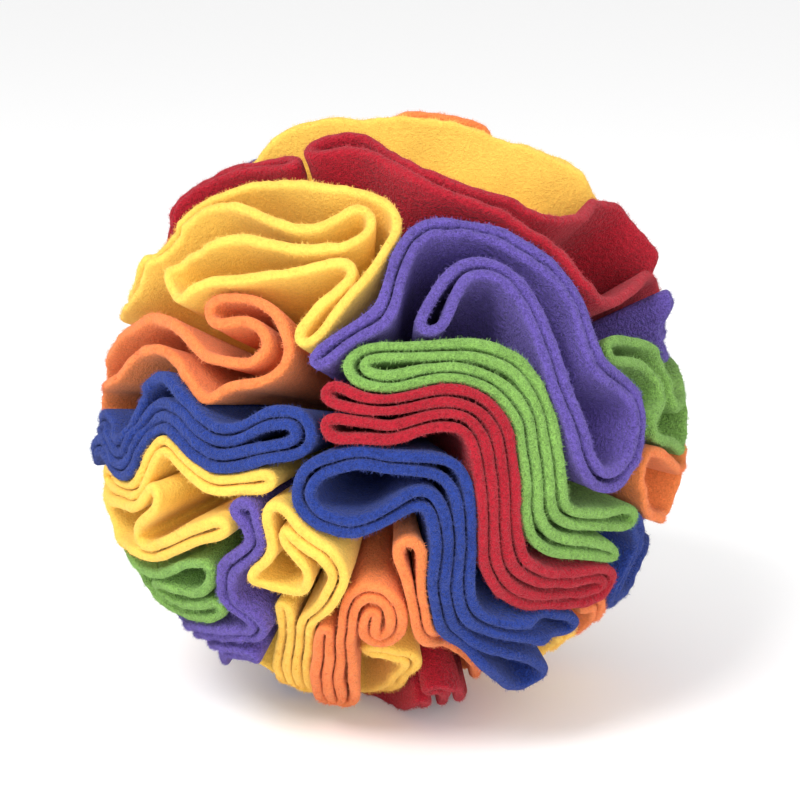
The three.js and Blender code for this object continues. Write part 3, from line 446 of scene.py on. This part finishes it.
def sheet_of_cloth(name, curve, half):
    """A closed sheet whose cut edge follows the curve and whose folds run in to the middle."""
    rows = cloth_sections(curve, half)
    mesh = bmesh.new()
    circle = bmesh.ops.create_circle(mesh, segments=len(curve), radius=START_RING_RADIUS)
    ring = first = circle["verts"]
    set_ring(ring, rows[0])
    edges = list(mesh.edges)
    # The last ring lies on the first one, and the two are joined.
    for row in rows[1:] + rows[:1]:
        ring, edges = next_ring(mesh, ring, edges)
        set_ring(ring, row)
    bmesh.ops.remove_doubles(mesh, verts=first + ring, dist=SAME_POINT)
    bmesh.ops.recalc_face_normals(mesh, faces=mesh.faces)
    piece = object_of(name, mesh)
    piece.data.shade_smooth()
    return piece


# ---- The loose fibres on a cut edge ----

# How many fibres stand on a cut edge for each of its points, how long the longest is, and how short
# the shortest, as a share of it.
FIBRES_A_POINT = 20
FIBRE_LENGTH = 0.00115
SHORTEST_FIBRE = 0.45

# How wide a fibre is at its root, and at its tip, as a share of that.
FIBRE_WIDTH = 0.00008
FIBRE_TIP = 0.3

# How far round the rounded edge the fibres spread, in radians, and how far out in the cloth their
# roots are, as a share of half its thickness.
FIBRE_SPREAD = 0.75
ROOT_SHARE = 0.9

# What a fibre's lean is made of: straight out, with its tuft, and each its own way.
LEAN_OUT = 0.9
LEAN_WITH_TUFT = 1.5
LEAN_ASTRAY = 0.3

# How far apart the tufts are, and how much the flat of a fibre turns along the edge.
TUFT_LENGTH = 0.0018
FIBRE_TURN = 0.3


def fibres_of_cloth(name, curve, half, seed):
    """Short loose fibres that stand out from the cut edge, each a thin strip."""
    chance = np.random.default_rng(seed)
    count = len(curve) * FIBRES_A_POINT
    spot = chance.uniform(0, len(curve), count)
    before = spot.astype(int) % len(curve)
    after = (before + 1) % len(curve)
    share = (spot - spot.astype(int))[:, None]
    root = curve[before] * (1 - share) + curve[after] * share
    along = curve[after] - curve[before]
    along /= np.linalg.norm(along, axis=1, keepdims=True)
    ray = root - CENTRE
    ray /= np.linalg.norm(ray, axis=1, keepdims=True)
    side = np.cross(ray, along)
    angle = chance.normal(0, FIBRE_SPREAD, count)[:, None]
    out = ray * np.cos(angle) + side * np.sin(angle)
    thick = half[before][:, None]
    deep = -thick + thick * np.cos(angle) * ROOT_SHARE
    root = root + ray * deep + side * np.sin(angle) * thick * ROOT_SHARE
    tuft = np.array([noise.noise_vector(Vector(place) / TUFT_LENGTH) for place in curve])
    astray = chance.normal(0, LEAN_ASTRAY, (count, 3))
    lean = out * LEAN_OUT + tuft[before] * LEAN_WITH_TUFT + astray
    lean /= np.linalg.norm(lean, axis=1, keepdims=True)
    length = FIBRE_LENGTH * chance.uniform(SHORTEST_FIBRE, 1.0, count)[:, None]
    tip = wandered(root + lean * length)
    root = wandered(root)
    across = np.cross(lean, ray + FIBRE_TURN * along)
    across *= FIBRE_WIDTH / np.linalg.norm(across, axis=1, keepdims=True)
    return thin_strips(name, root, root + across, tip, tip + across * FIBRE_TIP)


def move_to(verts, places):
    """Puts each vert at the place that is listed for where it is now."""
    for vert in verts:
        vert.co = places[tuple(vert.co)]


def thin_strips(name, root_a, root_b, tip_a, tip_b):
    """One mesh of thin strips, each from its two root corners to its two tip corners."""
    mesh = bmesh.new()
    roots = [mesh.verts.new(place) for place in root_a]
    keys = [tuple(vert.co) for vert in roots]
    others = bmesh.ops.extrude_vert_indiv(mesh, verts=roots)["verts"]
    move_to(others, dict(zip(keys, root_b)))
    # A vert keeps its place in single precision, so the other corners are looked up rounded too.
    places = dict(zip(keys, tip_a))
    places.update({tuple(float(c) for c in np.float32(b)): t for b, t in zip(root_b, tip_b)})
    made = bmesh.ops.extrude_edge_only(mesh, edges=list(mesh.edges))["geom"]
    move_to([g for g in made if isinstance(g, bmesh.types.BMVert)], places)
    return object_of(name, mesh)


# ---- The finishes ----


class Value:
    """A number in a material, worked on with the plain signs of sums."""

    def __init__(self, tree, socket):
        self.tree = tree
        self.socket = socket

    def _math(self, operation, other, swap=False):
        node = self.tree.nodes.new("ShaderNodeMath")
        node.operation = operation
        pair = (other, self) if swap else (self, other)
        for entry, item in zip(node.inputs, pair):
            if isinstance(item, Value):
                self.tree.links.new(item.socket, entry)
            else:
                entry.default_value = item
        return Value(self.tree, node.outputs[0])

    def __add__(self, other):
        return self._math("ADD", other)

    def __radd__(self, other):
        return self._math("ADD", other)

    def __sub__(self, other):
        return self._math("SUBTRACT", other)

    def __rsub__(self, other):
        return self._math("SUBTRACT", other, swap=True)

    def __mul__(self, other):
        return self._math("MULTIPLY", other)

    def __rmul__(self, other):
        return self._math("MULTIPLY", other)


class Finish:
    """A material that is put together one node at a time."""

    def __init__(self, name):
        self.material = bpy.data.materials.new(name)
        self.material.use_nodes = True
        self.tree = self.material.node_tree
        self.shader = self.tree.nodes["Principled BSDF"]

    def node(self, kind, settings=None, **inputs):
        """Adds a node: first its settings, then the values or links of its sockets."""
        made = self.tree.nodes.new(kind)
        for key, value in (settings or {}).items():
            setattr(made, key, value)
        for key, value in inputs.items():
            entry = made.inputs[key.replace("_", " ")]
            if isinstance(value, Value):
                self.tree.links.new(value.socket, entry)
            elif isinstance(value, bpy.types.NodeSocket):
                self.tree.links.new(value, entry)
            else:
                entry.default_value = value
        return made

    def place(self):
        """Where on the piece a point is, which holds a pattern still on it."""
        return self.node("ShaderNodeTexCoord").outputs["Object"]

    def noise(self, place, scale, **inputs):
        """Soft noise over the piece, as a value that averages a half."""
        made = self.node("ShaderNodeTexNoise", None, Vector=place, Scale=scale, **inputs)
        return Value(self.tree, made.outputs["Fac"])

    def set_colour(self, tint, shade):
        """Gives the piece one colour, darker and lighter as the shade goes."""
        scale = {"operation": "SCALE"}
        made = self.node("ShaderNodeVectorMath", scale, Vector=tint, Scale=shade)
        self.tree.links.new(made.outputs["Vector"], self.shader.inputs["Base Color"])

    def set_relief(self, height, depth):
        """Gives the piece small bumps. The depth is how high a value of one stands."""
        made = self.node("ShaderNodeBump", None, Strength=1.0, Distance=depth, Height=height)
        self.tree.links.new(made.outputs["Normal"], self.shader.inputs["Normal"])

    def set_all_over(self, looks):
        """Sets what is the same all over the piece."""
        for entry, value in looks.items():
            self.shader.inputs[entry].default_value = value


# The pile of each colour of fleece: how much its clumps differ in shade, partly as their own mottled
# tone and partly as painted highlight on the high clumps and painted shade in the low ones, and how
# high they stand.
PILES = {
    "red": (0.9, 0.0009),
    "orange": (0.55, 0.0005),
    "yellow": (0.35, 0.0003),
    "green": (1.1, 0.0010),
    "blue": (1.1, 0.0010),
    "purple": (1.3, 0.0011),
}

# How fine the patches, clumps and fibres of the pile are, as how many go in a metre, how much the
# patches differ in shade, and how high the fibres stand, as a share of the clumps.
PATCH_SCALE = 90.0
CLUMP_SCALE = 1100.0
FIBRE_SCALE = 2800.0
PATCH_CONTRAST = 0.3
FIBRE_HEIGHT = 0.6

# The loose fibres: how far their colour goes from the cloth's to white, because light shines through
# them, how fine their specks are, the darkest of these, and how much they differ.
PALER = 0.04
SPECK_SCALE = 900.0
SPECK_DARKEST = 0.75
SPECK_CONTRAST = 0.6

# The curve of a screen: straight in the darkest tones, up to their end, and a power above them.
DARK_END = 0.04045
DARK_SLOPE = 12.92
CURVE_OFFSET = 0.055
CURVE_POWER = 2.4

# Brushed cloth is dull, with a faint sheen that is partly white and partly its own colour.
BRUSHED = {
    "Roughness": 1.0,
    "Specular IOR Level": 0.1,
    "Sheen Weight": 0.25,
    "Sheen Roughness": 0.5,
}
SHEEN_WHITE = 0.4


def brushed(finish, tint):
    """Gives a finish the soft, dull look of brushed cloth."""
    sheen = [SHEEN_WHITE + (1 - SHEEN_WHITE) * c for c in tint]
    finish.set_all_over(BRUSHED | {"Sheen Tint": (*sheen, 1)})


def fleece(colour, tint):
    """Brushed fleece of one colour: a short matted pile with clumps and loose specks."""
    contrast, depth = PILES[colour]
    finish = Finish("fleece_" + colour)
    place = finish.place()
    patch = finish.noise(place, PATCH_SCALE, Detail=2.0) - 0.5
    clump = finish.noise(place, CLUMP_SCALE, Detail=2.0, Roughness=0.6) - 0.5
    fibre = finish.noise(place, FIBRE_SCALE, Detail=1.0, Roughness=0.6) - 0.5
    # The clumps and fibres that stand high in the bumps are painted lighter, and those that lie low
    # are painted darker: painted highlight and painted shade over the pile's own mottled tone.
    finish.set_colour(tint, 1.0 + patch * PATCH_CONTRAST + clump * contrast + fibre * contrast)
    finish.set_relief(clump + fibre * FIBRE_HEIGHT, depth)
    brushed(finish, tint)
    return finish.material


def loose_fibre(colour, tint):
    """The fibres that stand out from the cut edges, a little paler than the cloth."""
    finish = Finish("pile_" + colour)
    pale = [c + (1 - c) * PALER for c in tint]
    speck = finish.noise(finish.place(), SPECK_SCALE, Detail=1.0)
    finish.set_colour(pale, speck * SPECK_CONTRAST + SPECK_DARKEST)
    brushed(finish, tint)
    return finish.material


def linear(rgb):
    """A screen colour as the shader takes it, with the screen's own curve taken out."""
    return [
        c / DARK_SLOPE if c <= DARK_END else ((c + CURVE_OFFSET) / (1 + CURVE_OFFSET)) ** CURVE_POWER
        for c in rgb
    ]


# ---- The sizes and colours in the sidebar ----


class BallSizes(bpy.types.PropertyGroup):
    """Sizes of the cloths."""

    spacing: FloatProperty(
        name="Spacing",
        description="Distance between the points along a cut edge",
        default=0.0013,
        min=0.0008,
        max=0.004,
        unit="LENGTH",
    )
    easing: IntProperty(
        name="Easing",
        description="How often the corners of a cut edge are eased",
        default=6,
        min=0,
        max=40,
    )


class BallColours(bpy.types.PropertyGroup):
    """Colours of the cloths."""

    red: FloatVectorProperty(
        name="Red",
        description="Colour of the red cloths",
        subtype="COLOR",
        size=3,
        default=(0.67, 0.12, 0.18),
    )
    orange: FloatVectorProperty(
        name="Orange",
        description="Colour of the orange cloths",
        subtype="COLOR",
        size=3,
        default=(0.9, 0.505, 0.28),
    )
    yellow: FloatVectorProperty(
        name="Yellow",
        description="Colour of the yellow cloths",
        subtype="COLOR",
        size=3,
        default=(0.94, 0.765, 0.34),
    )
    green: FloatVectorProperty(
        name="Green",
        description="Colour of the green cloths",
        subtype="COLOR",
        size=3,
        default=(0.5, 0.67, 0.33),
    )
    blue: FloatVectorProperty(
        name="Blue",
        description="Colour of the blue cloths",
        subtype="COLOR",
        size=3,
        default=(0.155, 0.24, 0.54),
    )
    purple: FloatVectorProperty(
        name="Purple",
        description="Colour of the purple cloths",
        subtype="COLOR",
        size=3,
        default=(0.39, 0.32, 0.64),
    )


# ---- The cloths ----

# The discs that the cloths are cut from: the widest, the narrowest, and the step between two sizes.
WIDEST_DISC = 0.14
NARROWEST_DISC = 0.08
DISC_STEP = 0.005

# The cloth behind each metre of cut edge, in square metres, and the least that all of it may be of
# the disc it is cut from, as a share.
CLOTH_A_METRE = 0.0379
LEAST_OF_DISC = 0.78


def disc_area(diameter):
    return math.pi / 4 * diameter**2


def cloth_diameter(curve):
    """The diameter of a cloth's disc: less where little of its edge lies on the ball."""
    length = np.linalg.norm(np.roll(curve, -1, axis=0) - curve, axis=1).sum()
    cloth = length * CLOTH_A_METRE
    diameter = WIDEST_DISC
    while cloth / disc_area(diameter) < LEAST_OF_DISC and diameter > NARROWEST_DISC:
        diameter -= DISC_STEP
    return diameter


def make_cloths(context, colour):
    """Makes every cloth of one colour in place of its solid."""
    sizes = context.scene.ball_sizes
    tint = linear(getattr(context.scene.ball_colours, colour))
    cloth_finish = fleece(colour, tint)
    fibre_finish = loose_fibre(colour, tint)
    curves, halves = all_cut_edges(sizes.spacing, sizes.easing)
    for seed, name in enumerate(CLOTH_NAMES):
        if colour_of(name) != colour:
            continue
        curve = curves[name]
        half = halves[name]
        piece = sheet_of_cloth(name + "_fleece", curve, half)
        pile = fibres_of_cloth(name + "_pile", curve, half, seed)
        for part, finish in ((piece, cloth_finish), (pile, fibre_finish)):
            part.data.materials.append(finish)
            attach(part, "root")
        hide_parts(name)
        diameter = cloth_diameter(curve)


class MakeRedCloths(bpy.types.Operator):
    """Make the red cloths"""

    bl_idname = "snuffle_ball.red_cloths"
    bl_label = "Red cloths"

    def execute(self, context):
        make_cloths(context, "red")
        return {"FINISHED"}


class MakeOrangeCloths(bpy.types.Operator):
    """Make the orange cloths"""

    bl_idname = "snuffle_ball.orange_cloths"
    bl_label = "Orange cloths"

    def execute(self, context):
        make_cloths(context, "orange")
        return {"FINISHED"}


class MakeYellowCloths(bpy.types.Operator):
    """Make the yellow cloths"""

    bl_idname = "snuffle_ball.yellow_cloths"
    bl_label = "Yellow cloths"

    def execute(self, context):
        make_cloths(context, "yellow")
        return {"FINISHED"}


class MakeGreenCloths(bpy.types.Operator):
    """Make the green cloths"""

    bl_idname = "snuffle_ball.green_cloths"
    bl_label = "Green cloths"

    def execute(self, context):
        make_cloths(context, "green")
        return {"FINISHED"}


class MakeBlueCloths(bpy.types.Operator):
    """Make the blue cloths"""

    bl_idname = "snuffle_ball.blue_cloths"
    bl_label = "Blue cloths"

    def execute(self, context):
        make_cloths(context, "blue")
        return {"FINISHED"}


class MakePurpleCloths(bpy.types.Operator):
    """Make the purple cloths"""

    bl_idname = "snuffle_ball.purple_cloths"
    bl_label = "Purple cloths"

    def execute(self, context):
        make_cloths(context, "purple")
        return {"FINISHED"}


# ---- The stage ----

# The camera's distance from the ball's middle, the width of its sensor in millimetres, and where the
# ball is in a square picture: the picture's side, and the ball's radius and middle, all in pixels.
CAMERA_DISTANCE = 0.64
SENSOR_WIDTH = 36.0
PICTURE_SIDE = 800
BALL_PIXELS = 302
BALL_MIDDLE_X = 393
BALL_MIDDLE_Y = 411

# The floor, from its middle to a side, and its look: pale, with a faint light of its own.
FLOOR_REACH = 3.0
PALE_FLOOR = {
    "Base Color": (0.97, 0.97, 0.97, 1),
    "Roughness": 0.9,
    "Emission Color": (1, 1, 1, 1),
    "Emission Strength": 0.12,
}

# The soft lights: how wide each is, its power in watts and its place. All face the same point.
LIGHTS = {
    "key": (0.45, 11.5, (-0.5, -0.75, 1.0)),
    "fill": (0.8, 5, (0.3, -1.2, 0.45)),
}
LIT_POINT = Vector((0, 0, 0.07))
ROOM_LIGHT = 0.8


def add_camera(scene):
    """The camera, where it sees the ball as large and in the same place as the photograph does."""
    lens = bpy.data.cameras.new("camera")
    lens.sensor_fit = "HORIZONTAL"
    lens.sensor_width = SENSOR_WIDTH
    half_angle = math.asin(BALL_RADIUS / CAMERA_DISTANCE)
    lens.lens = SENSOR_WIDTH * BALL_PIXELS / PICTURE_SIDE / math.tan(half_angle)
    lens.shift_x = (PICTURE_SIDE / 2 - BALL_MIDDLE_X) / PICTURE_SIDE
    lens.shift_y = (BALL_MIDDLE_Y - PICTURE_SIDE / 2) / PICTURE_SIDE
    camera = bpy.data.objects.new("camera", lens)
    away = Vector(TOWARDS_VIEW)
    camera.location = Vector(CENTRE) + away * CAMERA_DISTANCE
    camera.rotation_euler = (-away).to_track_quat("-Z", "Y").to_euler()
    bpy.context.collection.objects.link(camera)
    scene.camera = camera


def add_floor():
    """The pale floor that the ball lies on."""
    mesh = bmesh.new()
    bmesh.ops.create_grid(mesh, x_segments=1, y_segments=1, size=FLOOR_REACH)
    floor = object_of("floor", mesh)
    paper = Finish("floor")
    paper.set_all_over(PALE_FLOOR)
    floor.data.materials.append(paper.material)


def add_room(scene):
    """Even white light from all round."""
    world = bpy.data.worlds.new("room")
    world.use_nodes = True
    sky = world.node_tree.nodes["Background"]
    sky.inputs["Color"].default_value = (1, 1, 1, 1)
    sky.inputs["Strength"].default_value = ROOM_LIGHT
    scene.world = world


def add_light(name, size, power, place):
    """One soft square light that faces the ball."""
    light = bpy.data.lights.new(name, "AREA")
    light.size = size
    light.energy = power
    lamp = bpy.data.objects.new(name, light)
    lamp.location = place
    lamp.rotation_euler = (LIT_POINT - Vector(place)).to_track_quat("-Z", "Y").to_euler()
    bpy.context.collection.objects.link(lamp)


class MakeStage(bpy.types.Operator):
    """Make the camera, the lights and the floor"""

    bl_idname = "snuffle_ball.stage"
    bl_label = "Stage"

    def execute(self, context):
        add_camera(context.scene)
        add_floor()
        add_room(context.scene)
        for name, (size, power, place) in LIGHTS.items():
            add_light(name, size, power, place)
        context.scene.view_settings.view_transform = "Standard"
        return {"FINISHED"}


# ---- The add-on ----


class BallPanel(bpy.types.Panel):
    """Lists the sizes, the colours and the pieces"""

    bl_idname = "VIEW3D_PT_snuffle_ball"
    bl_label = "Snuffle ball"
    bl_space_type = "VIEW_3D"
    bl_region_type = "UI"
    bl_category = "Snuffle ball"

    def draw(self, context):
        for group in (context.scene.ball_sizes, context.scene.ball_colours):
            for name in group.bl_rna.properties.keys():
                if name not in ("rna_type", "name"):
                    self.layout.prop(group, name)
        for operator in OPERATORS:
            self.layout.operator(operator.bl_idname)


OPERATORS = (
    MakeStage,
    MakeRedCloths,
    MakeOrangeCloths,
    MakeYellowCloths,
    MakeGreenCloths,
    MakeBlueCloths,
    MakePurpleCloths,
)
CLASSES = (BallSizes, BallColours) + OPERATORS + (BallPanel,)


def register():
    for item in CLASSES:
        bpy.utils.register_class(item)
    bpy.types.Scene.ball_sizes = PointerProperty(type=BallSizes)
    bpy.types.Scene.ball_colours = PointerProperty(type=BallColours)


def unregister():
    del bpy.types.Scene.ball_colours
    del bpy.types.Scene.ball_sizes
    for item in reversed(CLASSES):
        bpy.utils.unregister_class(item)


def main():
    register()
    bpy.ops.snuffle_ball.stage()
    bpy.ops.snuffle_ball.red_cloths()
    bpy.ops.snuffle_ball.orange_cloths()
    bpy.ops.snuffle_ball.yellow_cloths()
    bpy.ops.snuffle_ball.green_cloths()
    bpy.ops.snuffle_ball.blue_cloths()
    bpy.ops.snuffle_ball.purple_cloths()


if __name__ == "__main__":
    main()
